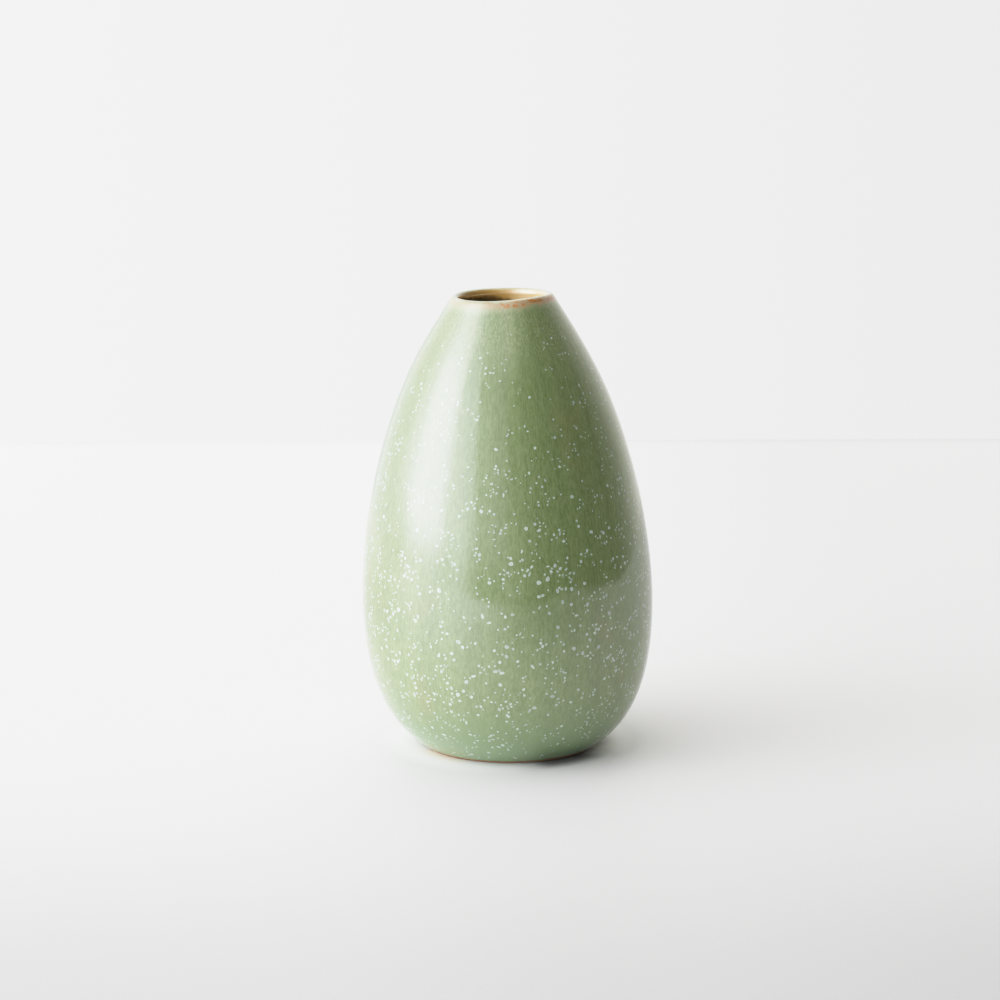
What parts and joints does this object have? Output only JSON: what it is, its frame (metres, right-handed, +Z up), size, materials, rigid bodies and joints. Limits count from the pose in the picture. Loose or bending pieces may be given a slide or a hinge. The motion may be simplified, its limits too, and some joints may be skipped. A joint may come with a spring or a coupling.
{
  "type": "ceramic bud vase",
  "caption": "Small egg-shaped stoneware bud vase with a narrow rounded lip, a flat foot ring and a hollow belly, glazed inside and out.",
  "frame": {"origin": "centre of the foot, on the plane the vase stands on", "axes": "+Z up along the axis of revolution, from the foot to the mouth; +X and +Y are any two square directions across, since the form is round. The reference view looks along +Y."},
  "size_m": [0.0834, 0.0834, 0.13],
  "materials": {
    "bare_stoneware": "matte bare fired clay, seen at the foot ring",
    "green_glaze": "gloss sage green reactive glaze with fine vertical streaks",
    "fleck_glaze": "pale mint white flecks fused in the green glaze",
    "amber_glaze": "gloss tan to amber glaze where the coat breaks thin over the lip",
    "liner_glaze": "gloss olive brown liner glaze"
  },
  "bodies": {
    "root": {"stoneware_body": "bare_stoneware", "outer_glaze": "green_glaze", "lip_glaze": "amber_glaze", "liner_glaze": "liner_glaze", "foot_well_glaze": "green_glaze"}
  },
  "joints": []
}
